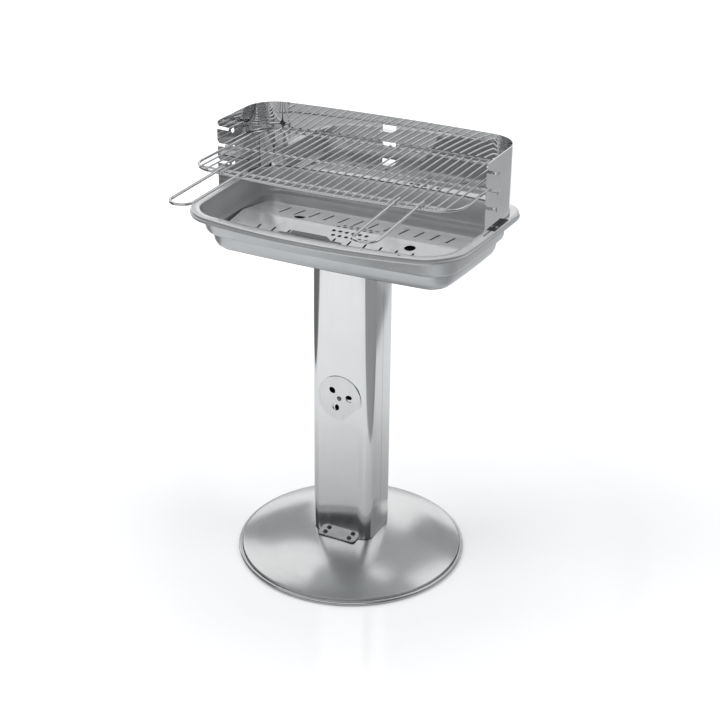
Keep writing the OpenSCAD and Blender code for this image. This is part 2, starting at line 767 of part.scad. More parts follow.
// plan of the windshield filled in, drawn smaller all round by the given amount
shield_arc = arc_r(shield_a, shield_bow);
shield_cx = shield_a - shield_r;
shield_cy = shield_rear - shield_arc + sqrt(pow(shield_arc - shield_r, 2) - shield_cx * shield_cx);
module shield_area(less) {
    reach = 2 * shield_arc;
    intersection() {
        translate([0, shield_rear - shield_arc]) circle(shield_arc - less, $fn = 2880);
        translate([0, shield_rear - shield_arc]) polygon([[0, 0],
            [shield_cx * reach / shield_arc, (shield_cy - shield_rear + shield_arc) * reach / shield_arc],
            [-shield_cx * reach / shield_arc, (shield_cy - shield_rear + shield_arc) * reach / shield_arc]]);
    }
    for (s = [-1, 1]) translate([s * shield_cx, shield_cy]) circle(shield_r - less);
    translate([-shield_a + less, shield_front - 3 * shield_r])
        square([2 * (shield_a - less), shield_cy - shield_front + 3 * shield_r]);
}

// plan of the windshield wall: a U that is open at the front
module shield_plan(less, wall) {
    difference() {
        shield_area(less);
        shield_area(less + wall);
        translate([-2 * shield_arc, shield_front - 4 * shield_arc])
            square([4 * shield_arc, 4 * shield_arc]);
    }
}

// corners of the relief hole, in shares of its length
relief_shares = [[0.417, -0.125], [0.917, -0.0625], [1, -0.375], [0.625, -0.5]];

// one notch, drawn as [y, z] about the seat of the wire
module notch_2d() {
    h = support_r + wire_gap;
    run = (seat_y - shield_front) / cos(notch_slope) + 3 * over;
    rise = (seat_y - shield_front) * tan(notch_slope);
    rotate(-notch_slope) translate([-run, -h]) square([run + h, 2 * h]);
    // flared mouth
    polygon([[shield_front - seat_y - over, rise + notch_flare_h],
             [shield_front - seat_y - over, rise],
             [shield_front - seat_y + notch_flare_l, rise - notch_flare_l * tan(notch_slope)],
             [shield_front - seat_y + notch_flare_l * 0.31, rise + notch_flare_h * 0.22]]);
    // relief hole behind the seat
    polygon([for (p = relief_shares) p * notch_relief]);
}

module windshield() {
    color(polished) difference() {
        union() {
            translate([0, 0, rim_z]) linear_extrude(shield_h) shield_plan(0, shield_t);
            // folded hem along the top
            translate([0, 0, shield_top - hem_h]) linear_extrude(hem_h)
                shield_plan(shield_t - bite, hem_t + bite);
            // outward feet on the rim
            for (s = [-1, 1]) translate([s * (shield_a + shield_foot / 2 - bite / 2),
                                         shield_foot_y, rim_z])
                translate([-shield_foot / 2 - bite / 2, -shield_foot_l / 2, 0])
                    cube([shield_foot + bite, shield_foot_l, shield_t]);
            translate([-shield_rear_foot_l / 2, shield_rear - shield_t, rim_z])
                cube([shield_rear_foot_l, shield_foot + shield_t, shield_t]);
            // lanced shelves under the rear frame wire, one for each level
            for (i = [0 : 2])
                translate([-shelf_w / 2, shield_rear - shield_t - shelf_reach,
                           frame_z + (i - 1) * level_step - frame_r - wire_gap - shield_t])
                    cube([shelf_w, shelf_reach + bite, shield_t]);
        }
        // windows that the shelves are lanced from
        for (i = [0 : 2])
            translate([-shelf_w / 2, shield_rear - shield_t - over,
                       frame_z + (i - 1) * level_step - frame_r - wire_gap])
                cube([shelf_w, shield_t + 2 * over, shelf_window]);
        // notches for the support wire in both wings
        for (i = [0 : 2])
            translate([-shield_a - over, seat_y, seat_z + (i - 1) * level_step])
                rotate([90, 0, 90]) linear_extrude(2 * (shield_a + over)) notch_2d();
        // rounded top corners of the wings
        translate([-shield_a - over, shield_front, shield_top - shield_corner]) rotate([90, 0, 90])
            linear_extrude(2 * (shield_a + over)) difference() {
                translate([-over, 0]) square([shield_corner + over, shield_corner + over]);
                translate([shield_corner, 0]) circle(shield_corner, $fn = 48);
            }
        translate([0, 0, rim_z - over]) shield_screw_places()
            cylinder(r = screw_r + screw_gap, h = shield_t + 2 * over, $fn = 24);
    }
}

module windshield_screws() {
    color(dark_steel) translate([0, 0, rim_z + shield_t]) shield_screw_places()
        socket_screw(screw_r, shield_t + t + screw_nut_h + screw_d * 0.2, screw_head_r,
                     screw_head_h, screw_r * 0.8, screw_head_h * 0.6);
}

module windshield_nuts() {
    color(dark_steel) translate([0, 0, rim_z - t - screw_nut_h]) shield_screw_places()
        hex_nut(screw_nut_r, screw_nut_h, screw_r);
}

// part of a wire ring about z, turned by start from the +X direction
module wire_arc(cx, cy, z, r, wire_r, start, sweep, steps) {
    translate([cx, cy, z]) rotate([0, 0, start]) rotate_extrude(angle = sweep, $fn = steps)
        translate([r, 0]) circle(wire_r, $fn = 32);
}

module wire_x(x0, x1, y, z, r) {
    translate([x0, y, z]) rotate([0, 90, 0]) cylinder(r = r, h = x1 - x0, $fn = 32);
}

module wire_y(y0, y1, x, z, r) {
    translate([x, y0, z]) rotate([-90, 0, 0]) cylinder(r = r, h = y1 - y0, $fn = 32);
}

// round corners of the outer wire of the grid
module rim_corner_wires() {
    for (side = [-1, 1]) {
        wire_arc(side * grid_cx, front_cy, frame_z, grid_r, frame_r,
                 side > 0 ? front_turn - 90 : 180, 90 - front_turn, 96);
        wire_arc(side * grid_cx, rear_cy, frame_z, grid_r, frame_r,
                 side > 0 ? 0 : 90 + rear_turn, 90 - rear_turn, 96);
    }
}

// weld beads at both ends of each corner
module rim_weld_beads() {
    for (side = [-1, 1]) {
        translate([side * front_arc * sin(front_turn),
                   grid_front + front_arc * (1 - cos(front_turn)), frame_z])
            sphere(frame_r * knuckle, $fn = 32);
        translate([side * rear_arc * sin(rear_turn),
                   grid_rear - rear_arc * (1 - cos(rear_turn)), frame_z])
            sphere(frame_r * knuckle, $fn = 32);
        for (y = [front_cy, rear_cy])
            translate([side * grid_a, y, frame_z]) sphere(frame_r * knuckle, $fn = 32);
    }
}

// Side wires of the outer wire, each with its two round corners.
module grid_rim_sides() {
    color(steel) {
        for (side = [-1, 1]) wire_y(front_cy, rear_cy, side * grid_a, frame_z, frame_r);
        rim_corner_wires();
        rim_weld_beads();
    }
}

// Bowed front and rear of the outer wire, butt-welded to the corners.
module grid_rim_bows() {
    color(steel) {
        wire_arc(0, grid_front + front_arc, frame_z, front_arc, frame_r,
                 -90 - front_turn, 2 * front_turn, 720);
        wire_arc(0, grid_rear - rear_arc, frame_z, rear_arc, frame_r,
                 90 - rear_turn, 2 * rear_turn, 1440);
    }
}

module grid_wires() {
    hx = grid_cx + sqrt(grid_r * grid_r - pow(min(hinge_y - front_cy, 0), 2));
    wire_x(-hx, hx, hinge_y, hinge_z, hinge_r);
    for (s = [-1, 1], i = [0 : bar_count - 1])
        wire_y(front_y((i + 0.5) * bar_pitch) - bar_end, rear_y((i + 0.5) * bar_pitch) + bar_end,
               s * (i + 0.5) * bar_pitch, bar_z, bar_r);
}

module grid_bars() {
    color(steel) grid_wires();
}

// wire under the frame that reaches through the wings and hangs in the notches
module grid_support_wire() {
    color(steel) wire_x(-shield_a - wire_out, shield_a + wire_out, seat_y, seat_z, support_r);
}

// one leg of a handle from its eye to the bend over the frame wire
module handle_leg(x) {
    // eye round the inner front wire, open at the front
    translate([x, hinge_y, hinge_z]) rotate([0, -90, 0])
        rotate_extrude(angle = 260) translate([leg_z - hinge_z, 0]) circle(handle_r, $fn = 32);
    wire_y(bend_y, hinge_y, x, leg_z, handle_r);
}

// the part of a handle that the fingers hold, from the bends to the round end
module handle_grip() {
    run = handle_reach - tip_r - (grid_front - bend_y);
    for (x = [leg_in, leg_out]) wire_y(-run, 0, x, 0, handle_r);
    translate([(leg_in + leg_out) / 2, -run, 0]) rotate([0, 0, 180])
        rotate_extrude(angle = 180) translate([tip_r, 0]) circle(handle_r, $fn = 32);
}

// one folding handle, drawn for the right side
module handle(droop) {
    union() {
        for (x = [leg_in, leg_out]) handle_leg(x);
        for (x = [leg_in, leg_out])
            translate([x, bend_y, leg_z]) sphere(handle_r * knuckle, $fn = 32);
    }
    translate([0, bend_y, leg_z]) rotate([droop, 0, 0]) handle_grip();
}

module handle_right() {
    color(steel) handle(handle_droop);
}

module handle_left() {
    color(steel) mirror([1, 0, 0]) handle(handle_droop_left);
}

base_disc();
foot_bracket_front();
foot_bracket_rear();
foot_screws();
foot_nuts();
column_front_shell();
column_rear_shell();
column_top_bracket();
damper_disc();
damper_rivet();
damper_washer();
fire_bowl();
bowl_bolts();
bowl_nuts();
charcoal_plate();
windshield();
windshield_screws();
windshield_nuts();
grid_rim_sides();
grid_rim_bows();
grid_bars();
grid_support_wire();
handle_left();
handle_right();
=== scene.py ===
"""Looks of the charcoal grill: camera, stage, light, metal finishes and the softly bent foot."""
import math

import bmesh
import bpy
from mathutils import Matrix, Vector


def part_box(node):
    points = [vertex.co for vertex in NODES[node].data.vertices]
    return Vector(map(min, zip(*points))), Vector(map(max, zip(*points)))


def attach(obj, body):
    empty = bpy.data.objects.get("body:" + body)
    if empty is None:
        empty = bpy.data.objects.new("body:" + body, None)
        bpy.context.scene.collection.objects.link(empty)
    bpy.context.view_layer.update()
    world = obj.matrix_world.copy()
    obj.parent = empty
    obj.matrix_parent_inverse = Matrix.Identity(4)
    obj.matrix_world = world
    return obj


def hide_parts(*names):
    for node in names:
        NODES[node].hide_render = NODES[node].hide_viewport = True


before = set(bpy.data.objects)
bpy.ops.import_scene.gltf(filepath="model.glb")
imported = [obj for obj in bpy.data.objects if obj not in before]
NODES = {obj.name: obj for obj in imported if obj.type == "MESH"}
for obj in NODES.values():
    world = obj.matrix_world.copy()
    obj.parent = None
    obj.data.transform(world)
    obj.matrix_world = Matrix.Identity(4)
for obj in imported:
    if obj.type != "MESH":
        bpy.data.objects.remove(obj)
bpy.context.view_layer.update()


def rgb(r, g=None, b=None):
    """A colour for a shader socket. One number gives a neutral grey."""
    return (r, r if g is None else g, r if b is None else b, 1)


def even(scale):
    """The same noise scale along all three axes."""
    return (scale, scale, scale)


# The two corners of a node's box and the three numbers of a corner
LOW = 0
HIGH = 1
X = 0
Y = 1
Z = 2

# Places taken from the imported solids, in metres
BOWL_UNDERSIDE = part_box("fire_bowl")[LOW][Z]
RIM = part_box("fire_bowl")[HIGH][Z]
PLATE_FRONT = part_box("charcoal_plate")[LOW][Y]
FOOT_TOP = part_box("base_disc")[HIGH][Z]
FOOT_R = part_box("base_disc")[HIGH][X]

# Camera, solved from the picture's own lines: metres, degrees and millimetres of lens
EYE = Vector((1.1894, -2.3566, 1.6967))
AZIMUTH = 26.46
ELEVATION = 25.82
ROLL = 0.57
SENSOR = 36
LENS = 74.97
FAR_CLIP = 60

# World: white for the eye and for mirrors, greyer for the light that falls on matt surfaces
SKY_SEEN = rgb(1)
SKY_LIGHT = rgb(0.62, 0.635, 0.65)

# Floor of white paper. A reach is a near and a far distance from the foot's middle, in metres,
# and the pairs after it are what the floor has at those two distances
FLOOR_SIZE = 24
FLOOR_Z = -0.0004
FLOOR_PALE = rgb(0.89)
FLOOR_DARK = rgb(0.86)
FLOOR_CLOUD = {"scale": even(5), "detail": 3, "rough": 0.5}
FLOOR_ROUGH = (0.10, 0.16)
FLOOR_IOR = 1.8
SHEEN_REACH = (0.36, 0.62)
SHEEN = (1.0, 0.0)
GLOW_REACH = (0.3, 3.0)
GLOW_TO_EYE = (0.22, 0.75)
GLOW_TO_METAL = (0.0, 0.30)

# Lamps: name, place, point they aim at, sides, watts
LAMPS = (
    ("key", (-1.7, -1.2, 3.0), (0, 0, 0.5), (1.5, 1.5), 40),
    ("fill", (2.4, 0.4, 2.6), (0, 0, 0.6), (1.2, 1.2), 16),
)

# Greys on the floor beyond the white paper, which only the metal mirrors: name, two corners, shade
FLAT_Z = 0.001
FLATS = (
    ("grey_floor_front", (-6, -2.1), (6, -1.62), 0.30),
    ("pale_floor_front", (-6, -6), (6, -2.1), 0.50),
    ("grey_floor_right", (0.56, -1.62), (6, 1.22), 0.36),
    ("grey_floor_left", (-6, -1.62), (-0.9, 0.7), 0.16),
    ("pale_floor_right", (0.56, 1.22), (6, 6), 0.55),
)

# Walls, ceiling and backdrops of the studio, which only the metal mirrors: name, corners, shade
CARDS = (
    ("dark_wall_front", [(-7, -4.2, 0), (7, -4.2, 0), (7, -4.2, 2.3), (-7, -4.2, 2.3)], 0.06),
    ("grey_ceiling", [(-7, -3.2, 4.6), (7, -3.2, 4.6), (7, 0.6, 4.6), (-7, 0.6, 4.6)], 0.38),
    ("dark_wall_left", [(-5, -4.2, 0), (-5, 1.2, 0), (-5, 1.2, 2.6), (-5, -4.2, 4.5)], 0.10),
    ("dark_wall_right", [(4, -4.2, 0), (4, 0.8, 0), (4, 0.8, 2.6), (4, -4.2, 4.5)], 0.10),
    ("grey_wall_right", [(4, 0.8, 0), (3.0, 5.2, 0), (3.0, 5.2, 4.0), (4, 0.8, 4.0)], 0.45),
    ("grey_backdrop", [(-4.2, 6, 4.2), (1.2, 6, 4.2), (1.2, 5, 9), (-4.2, 5, 9)], 0.62),
    ("grey_backdrop_left", [(-9, 6, 1.6), (-4.2, 6, 1.6), (-4.2, 6, 7.5), (-9, 6, 7.5)], 0.55),
    ("grey_backdrop_right", [(-1.0, 6, 1.6), (4, 6, 1.6), (4, 6, 4.2), (-1.0, 6, 4.2)], 0.5),
    ("grey_backdrop_high", [(0.4, 5, 9), (3, 5, 9), (3, 2.5, 10.5), (0.4, 2.5, 10.5)], 0.55),
)
CARD_VARY = 0.15
CARD_CLOUD = 4
MATTE_ROUGH = 0.9

# The shaded paper near the foot, which only the metal mirrors
SHADE_R = 0.7
SHADE_START = 0.25
SHADE_Z = 0.0006
SHADE_SIDES = 96
SHADE_GREY = 0.3
SHADE_VARY = 0.1
SHADE_CLOUD = 5
SHADE_MOST = 0.42

# Noise in every metal, and the spans of noise values that stand for the full range
CLOUD = {"scale": even(9), "detail": 4, "rough": 0.6, "distort": 0.4}
CLOUD_SPAN = (0.3, 0.7)
FINE = {"scale": even(900), "detail": 2, "rough": 0.5}
FINE_SPAN = (0.3, 0.7)
FINE_ROUGH = 0.012
GRAIN = {"detail": 4, "rough": 0.6}
GRAIN_SPAN = (0.25, 0.75)
GRAIN_TONE = (0.55, 1.0)
SCUFF_SPAN = (0.3, 0.8)
SMEAR = {"detail": 3, "rough": 0.5, "distort": 0.6}
SMEAR_SHARE = 0.2
SMEAR_LEAST = 3
SMEAR_SPAN = (0.25, 0.75)
WAVE = {"scale": even(11), "detail": 1, "rough": 0.4}

# Relief of every metal: its depth in metres and the share of each noise in it
RELIEF_DEPTH = 0.001
RELIEF_GRAIN = 0.6
RELIEF_FINE = 0.25
RELIEF_WAVE = 2.4

# Bands of painted light and shade in one sheet's colour: axis, place in the solids, from and to in metres
# from there, painted tone
# Painted shade: the bowl's inner floor under the plate is tinted near black, as if the plate shades it
PAINTED_SHADE_UNDER_PLATE = (Z, BOWL_UNDERSIDE, (0.0008, 0.005), rgb(0.10))
# Painted highlight: the top of the bowl's flange is tinted near white
PAINTED_FLANGE_HIGHLIGHT = (Z, RIM, (-0.0014, 0.0015), rgb(0.94))
# Painted dark reflection: the plate's tongue at its front is tinted a darker grey
PAINTED_TONGUE_DARK_REFLECTION = (Y, PLATE_FRONT, (-0.028, 0.0675), rgb(0.38, 0.385, 0.39))
# Painted dark reflection: the windshield's feet on the flange are tinted near black
PAINTED_SHIELD_FOOT_REFLECTION = (Z, RIM, (-0.001, 0.0019), rgb(0.07))

# Metals: pale and dark tone, roughness and its spread, noise scale of the grain along each axis,
# strength of the relief, and for some sheets bands of painted light and shade
METALS = {
    "base": {
        "name": "base_polished", "pale": rgb(0.76, 0.765, 0.77), "dark": rgb(0.70, 0.705, 0.71),
        "rough": 0.20, "spread": 0.03, "grain": (60, 60, 900), "bump": 0.02,
    },
    "column": {
        "name": "column_polished", "pale": rgb(0.80, 0.805, 0.81), "dark": rgb(0.74, 0.745, 0.75),
        "rough": 0.11, "spread": 0.03, "grain": (700, 700, 14), "bump": 0.02,
    },
    "damper": {
        "name": "damper_steel", "pale": rgb(0.80, 0.805, 0.81), "dark": rgb(0.70, 0.705, 0.71),
        "rough": 0.26, "spread": 0.04, "grain": (500, 40, 40), "bump": 0.03,
    },
    "bowl": {
        "name": "bowl_satin", "pale": rgb(0.66, 0.67, 0.675), "dark": rgb(0.58, 0.59, 0.60),
        "rough": 0.33, "spread": 0.03, "grain": (260, 260, 90), "bump": 0.02,
        "wave": 0.25, "metallic": 0.75, "scuff": 0.2, "painted_light_bands": (PAINTED_SHADE_UNDER_PLATE, PAINTED_FLANGE_HIGHLIGHT),
    },
    "plate": {
        "name": "plate_satin", "pale": rgb(0.94, 0.945, 0.95), "dark": rgb(0.90, 0.905, 0.91),
        "rough": 0.22, "spread": 0.03, "grain": (18, 500, 500), "bump": 0.015,
        "wave": 0.2, "metallic": 0.68, "scuff": 0.15, "painted_light_bands": (PAINTED_TONGUE_DARK_REFLECTION,),
    },
    "shield": {
        "name": "shield_mirror", "pale": rgb(0.84, 0.845, 0.85), "dark": rgb(0.79, 0.795, 0.80),
        "rough": 0.03, "spread": 0.012, "grain": (22, 600, 600), "bump": 0.012,
        "painted_light_bands": (PAINTED_SHIELD_FOOT_REFLECTION,),
    },
    "wire": {
        "name": "wire_chrome", "pale": rgb(0.90, 0.905, 0.91), "dark": rgb(0.78, 0.785, 0.79),
        "rough": 0.07, "spread": 0.04, "grain": (200, 30, 200), "bump": 0.03,
    },
    "bracket": {
        "name": "bracket_steel", "pale": rgb(0.62, 0.625, 0.64), "dark": rgb(0.52, 0.525, 0.54),
        "rough": 0.3, "spread": 0.06, "grain": (300, 300, 40), "bump": 0.04,
    },
    "screw": {
        "name": "screw_dark", "pale": rgb(0.20, 0.205, 0.21), "dark": rgb(0.11, 0.115, 0.12),
        "rough": 0.34, "spread": 0.08, "grain": even(400), "bump": 0.06,
    },
}

# The solids that have each metal
SOLIDS = {
    "base": ["base_disc"],
    "column": ["column_front_shell", "column_rear_shell"],
    "damper": ["damper_disc"],
    "bowl": ["fire_bowl"],
    "plate": ["charcoal_plate"],
    "shield": ["windshield"],
    "wire": [
        "grid_rim_sides", "grid_rim_bows", "grid_bars", "grid_support_wire",
        "handle_left", "handle_right",
    ],
    "bracket": [
        "foot_bracket_front", "foot_bracket_rear", "column_top_bracket", "damper_washer",
        "windshield_screws",
    ],
    "screw": [
        "damper_rivet", "foot_screws", "foot_nuts", "bowl_bolts", "bowl_nuts", "windshield_nuts",
    ],
}

# Smooth shading: degrees under which an edge is soft, and the reach that joins doubled points
SOFT_BELOW = 35
FOOT_SOFT_BELOW = 40
JOIN_REACH = 0.00002

# Outline of the foot in metres: dome, short bend, skirt and a rolled bead that rests on a flat
DOME_START = 0.046
DOME_EDGE = 0.2222
DOME_DROP = 0.0385
DOME_POWER = 1.9
FOOT_WALL = 0.0015
BEND_R = 0.0013
BEAD_R = 0.0045
BEAD_FLAT = 0.0004
BEAD_END = -0.97 * math.pi
INNER_STEP = 0.001
INNER_DROP = 0.002
DOME_STEPS = 60
BEND_STEPS = 8
BEAD_STEPS = 28
TUCK_STEPS = 12
TURN_STEPS = 240

# Places of the first value, the second value and the result on Blender's mix node
MIX_SOCKETS = {"FLOAT": (2, 3, 0), "RGBA": (6, 7, 2)}


def add_camera():
    az, el, roll = math.radians(AZIMUTH), math.radians(ELEVATION), math.radians(ROLL)
    ahead = Vector((-math.sin(az) * math.cos(el), math.cos(az) * math.cos(el), -math.sin(el)))
    level = Vector((math.cos(az), math.sin(az), 0))
    upright = level.cross(ahead)
    right = level * math.cos(roll) + upright * math.sin(roll)
    up = upright * math.cos(roll) - level * math.sin(roll)
    data = bpy.data.cameras.new("camera")
    data.sensor_width = SENSOR
    data.lens = LENS
    data.clip_end = FAR_CLIP
    cam = bpy.data.objects.new("camera", data)
    bpy.context.scene.collection.objects.link(cam)
    turn = Matrix((right, up, -ahead)).transposed().to_4x4()
    cam.matrix_world = Matrix.Translation(EYE) @ turn
    bpy.context.scene.camera = cam


class Tree:
    """Short ways to build a shader's node tree."""

    def __init__(self, tree):
        self.t = tree

    def node(self, kind):
        return self.t.nodes.new(kind)

    def put(self, socket, val):
        """Links another node's output to a socket, or sets the socket to a constant."""
        if isinstance(val, bpy.types.NodeSocket):
            self.t.links.new(val, socket)
        else:
            socket.default_value = val

    def coords(self, scale):
        mapping = self.node("ShaderNodeMapping")
        mapping.inputs["Scale"].default_value = scale
        self.put(mapping.inputs["Vector"], self.node("ShaderNodeTexCoord").outputs["Object"])
        return mapping.outputs["Vector"]

    def noise(self, scale, detail=3, rough=0.55, distort=0.0):
        n = self.node("ShaderNodeTexNoise")
        self.put(n.inputs["Vector"], self.coords(scale))
        n.inputs["Scale"].default_value = 1.0
        n.inputs["Detail"].default_value = detail
        n.inputs["Roughness"].default_value = rough
        n.inputs["Distortion"].default_value = distort
        return n.outputs["Fac"]

    def remap(self, val, span, target):
        """Stretches a value from one span to another, and holds it at the ends."""
        n = self.node("ShaderNodeMapRange")
        self.put(n.inputs["Value"], val)
        n.inputs["From Min"].default_value, n.inputs["From Max"].default_value = span
        n.inputs["To Min"].default_value, n.inputs["To Max"].default_value = target
        return n.outputs["Result"]

    def math(self, op, a, b):
        n = self.node("ShaderNodeMath")
        n.operation = op
        self.put(n.inputs[0], a)
        self.put(n.inputs[1], b)
        return n.outputs[0]

    def mix(self, fac, a, b, kind="RGBA"):
        first, second, result = MIX_SOCKETS[kind]
        n = self.node("ShaderNodeMix")
        n.data_type = kind
        self.put(n.inputs[0], fac)
        self.put(n.inputs[first], a)
        self.put(n.inputs[second], b)
        return n.outputs[result]

    def place(self, axis):
        """A point's coordinate along one axis."""
        split = self.node("ShaderNodeSeparateXYZ")
        self.put(split.inputs[0], self.coords(even(1)))
        return split.outputs[axis]

    def distance(self):
        """How far a point is from the object's origin, which for the floor is the foot's middle."""
        n = self.node("ShaderNodeVectorMath")
        n.operation = "LENGTH"
        self.put(n.inputs[0], self.node("ShaderNodeTexCoord").outputs["Object"])
        return n.outputs["Value"]


def new_material(name):
    """A material with its tree and its Principled node."""
    mat = bpy.data.materials.new(name)
    mat.use_nodes = True
    return mat, Tree(mat.node_tree), mat.node_tree.nodes["Principled BSDF"]


def steel(name, pale, dark, rough, spread, grain, bump, scuff=0.35, metallic=1.0, wave=1.0, painted_light_bands=()):
    """Metal with grain along one direction, cloudy roughness, fine scuffs, a faint relief and bands of
    painted light and shade.
    """
    mat, t, bsdf = new_material(name)
    lines = t.noise(grain, **GRAIN)
    fine = t.noise(**FINE)
    smear = t.noise([g * SMEAR_SHARE + SMEAR_LEAST for g in grain], **SMEAR)
    tone = t.remap(t.noise(**CLOUD), CLOUD_SPAN, (0.0, 1.0))
    tone = t.math("MULTIPLY", tone, t.remap(lines, GRAIN_SPAN, GRAIN_TONE))
    colour = t.mix(tone, dark, pale)
    # painted light and shade: inside each band the colour is replaced by its painted tone
    for axis, origin, (low, high), painted_tone in painted_light_bands:
        place = t.place(axis)
        over = t.math("GREATER_THAN", place, origin + low)
        under = t.math("LESS_THAN", place, origin + high)
        colour = t.mix(t.math("MULTIPLY", over, under), colour, painted_tone)
    t.put(bsdf.inputs["Base Color"], colour)
    bsdf.inputs["Metallic"].default_value = metallic
    blur = t.remap(smear, SMEAR_SPAN, (rough - spread, rough + spread))
    blur = t.math("ADD", blur, t.remap(lines, SCUFF_SPAN, (-spread * scuff, spread * scuff)))
    blur = t.math("ADD", blur, t.remap(fine, FINE_SPAN, (-FINE_ROUGH, FINE_ROUGH)))
    t.put(bsdf.inputs["Roughness"], blur)
    relief = t.node("ShaderNodeBump")
    relief.inputs["Strength"].default_value = bump
    relief.inputs["Distance"].default_value = RELIEF_DEPTH
    height = t.math("ADD", t.math("MULTIPLY", lines, RELIEF_GRAIN), t.math("MULTIPLY", fine, RELIEF_FINE))
    height = t.math("ADD", height, t.math("MULTIPLY", t.noise(**WAVE), RELIEF_WAVE * wave))
    t.put(relief.inputs["Height"], height)
    t.put(bsdf.inputs["Normal"], relief.outputs["Normal"])
    return mat


def paint(node, mat):
    materials = NODES[node].data.materials
    materials.clear()
    materials.append(mat)


def smooth(node):
    """Smooth shading on a faceted surface, with its sharper edges kept."""
    group = bpy.data.node_groups.new("soft_" + node, "GeometryNodeTree")
    group.interface.new_socket("Geometry", in_out="INPUT", socket_type="NodeSocketGeometry")
    group.interface.new_socket("Geometry", in_out="OUTPUT", socket_type="NodeSocketGeometry")
    start = group.nodes.new("NodeGroupInput")
    end = group.nodes.new("NodeGroupOutput")
    bare = group.nodes.new("GeometryNodeRemoveAttribute")
    bare.inputs["Name"].default_value = "custom_normal"
    merge = group.nodes.new("GeometryNodeMergeByDistance")
    merge.inputs["Distance"].default_value = JOIN_REACH
    faces = group.nodes.new("GeometryNodeSetShadeSmooth")
    edges = group.nodes.new("GeometryNodeSetShadeSmooth")
    edges.domain = "EDGE"
    angle = group.nodes.new("GeometryNodeInputMeshEdgeAngle")
    soft = group.nodes.new("FunctionNodeCompare")
    soft.operation = "LESS_THAN"
    soft.inputs[1].default_value = math.radians(SOFT_BELOW)
    link = group.links.new
    link(start.outputs[0], bare.inputs["Geometry"])
    link(bare.outputs[0], merge.inputs["Geometry"])
    link(merge.outputs[0], faces.inputs["Geometry"])
    link(faces.outputs[0], edges.inputs["Geometry"])
    link(angle.outputs["Unsigned Angle"], soft.inputs[0])
    link(soft.outputs[0], edges.inputs["Shade Smooth"])
    link(edges.outputs[0], end.inputs[0])
    NODES[node].modifiers.new("soft", "NODES").node_group = group


def add_world():
    scene = bpy.context.scene
    scene.view_settings.view_transform = "Standard"
    world = bpy.data.worlds.new("world")
    scene.world = world
    world.use_nodes = True
    t = Tree(world.node_tree)
    path = t.node("ShaderNodeLightPath").outputs
    seen = t.math("MAXIMUM", path["Is Camera Ray"], path["Is Glossy Ray"])
    seen = t.math("MAXIMUM", seen, path["Is Transmission Ray"])
    background = world.node_tree.nodes["Background"]
    t.put(background.inputs["Color"], t.mix(seen, SKY_LIGHT, SKY_SEEN))
    background.inputs["Strength"].default_value = 1.0


def floor_glow(t, far):
    """The glow of white paper, more where less lamp light falls, for the eye and for mirrors."""
    path = t.node("ShaderNodeLightPath").outputs
    to_eye = t.remap(far, GLOW_REACH, GLOW_TO_EYE)
    to_metal = t.remap(far, GLOW_REACH, GLOW_TO_METAL)
    glow = t.node("ShaderNodeEmission")
    t.put(glow.inputs["Strength"], t.mix(path["Is Camera Ray"], to_metal, to_eye, "FLOAT"))
    none = t.node("ShaderNodeEmission")
    none.inputs["Strength"].default_value = 0.0
    pick = t.node("ShaderNodeMixShader")
    t.put(pick.inputs[0], t.math("MAXIMUM", path["Is Camera Ray"], path["Is Glossy Ray"]))
    t.put(pick.inputs[1], none.outputs[0])
    t.put(pick.inputs[2], glow.outputs[0])
    return pick.outputs[0]


def add_floor():
    bpy.ops.mesh.primitive_plane_add(size=FLOOR_SIZE, location=(0, 0, FLOOR_Z))
    floor = bpy.context.object
    floor.name = "floor"
    mat, t, bsdf = new_material("floor_white")
    cloud = t.noise(**FLOOR_CLOUD)
    far = t.distance()
    t.put(bsdf.inputs["Base Color"], t.mix(cloud, FLOOR_DARK, FLOOR_PALE))
    t.put(bsdf.inputs["Roughness"], t.remap(cloud, CLOUD_SPAN, FLOOR_ROUGH))
    # the sheen of the paper fades out away from the foot
    t.put(bsdf.inputs["Specular IOR Level"], t.remap(far, SHEEN_REACH, SHEEN))
    bsdf.inputs["IOR"].default_value = FLOOR_IOR
    add = t.node("ShaderNodeAddShader")
    t.put(add.inputs[0], bsdf.outputs[0])
    t.put(add.inputs[1], floor_glow(t, far))
    t.put(mat.node_tree.nodes["Material Output"].inputs[0], add.outputs[0])
    floor.data.materials.append(mat)


def matte(name, shade, vary, scale):
    """Matt grey paint, a little cloudy, with its tree and its Principled node."""
    mat, t, bsdf = new_material(name)
    cloud = t.noise(even(scale))
    t.put(bsdf.inputs["Base Color"], t.mix(cloud, rgb(shade * (1 - vary)), rgb(shade * (1 + vary))))
    bsdf.inputs["Roughness"].default_value = MATTE_ROUGH
    return mat, t, bsdf


def only_mirrored(o):
    """Leaves a piece of the stage to reflections alone."""
    o.visible_camera = False
    o.visible_diffuse = False
    o.visible_shadow = False


def card(name, corners, shade):
    """A grey card, given by four corners."""
    mesh = bpy.data.meshes.new(name)
    mesh.from_pydata(corners, [], [(0, 1, 2, 3)])
    o = bpy.data.objects.new(name, mesh)
    bpy.context.scene.collection.objects.link(o)
    mesh.materials.append(matte(name + "_matte", shade, CARD_VARY, CARD_CLOUD)[0])
    only_mirrored(o)


def flat(name, near, far, shade):
    """A grey card that lies on the floor between two corners."""
    (x0, y0), (x1, y1) = near, far
    card(name, [(x0, y0, FLAT_Z), (x1, y0, FLAT_Z), (x1, y1, FLAT_Z), (x0, y1, FLAT_Z)], shade)


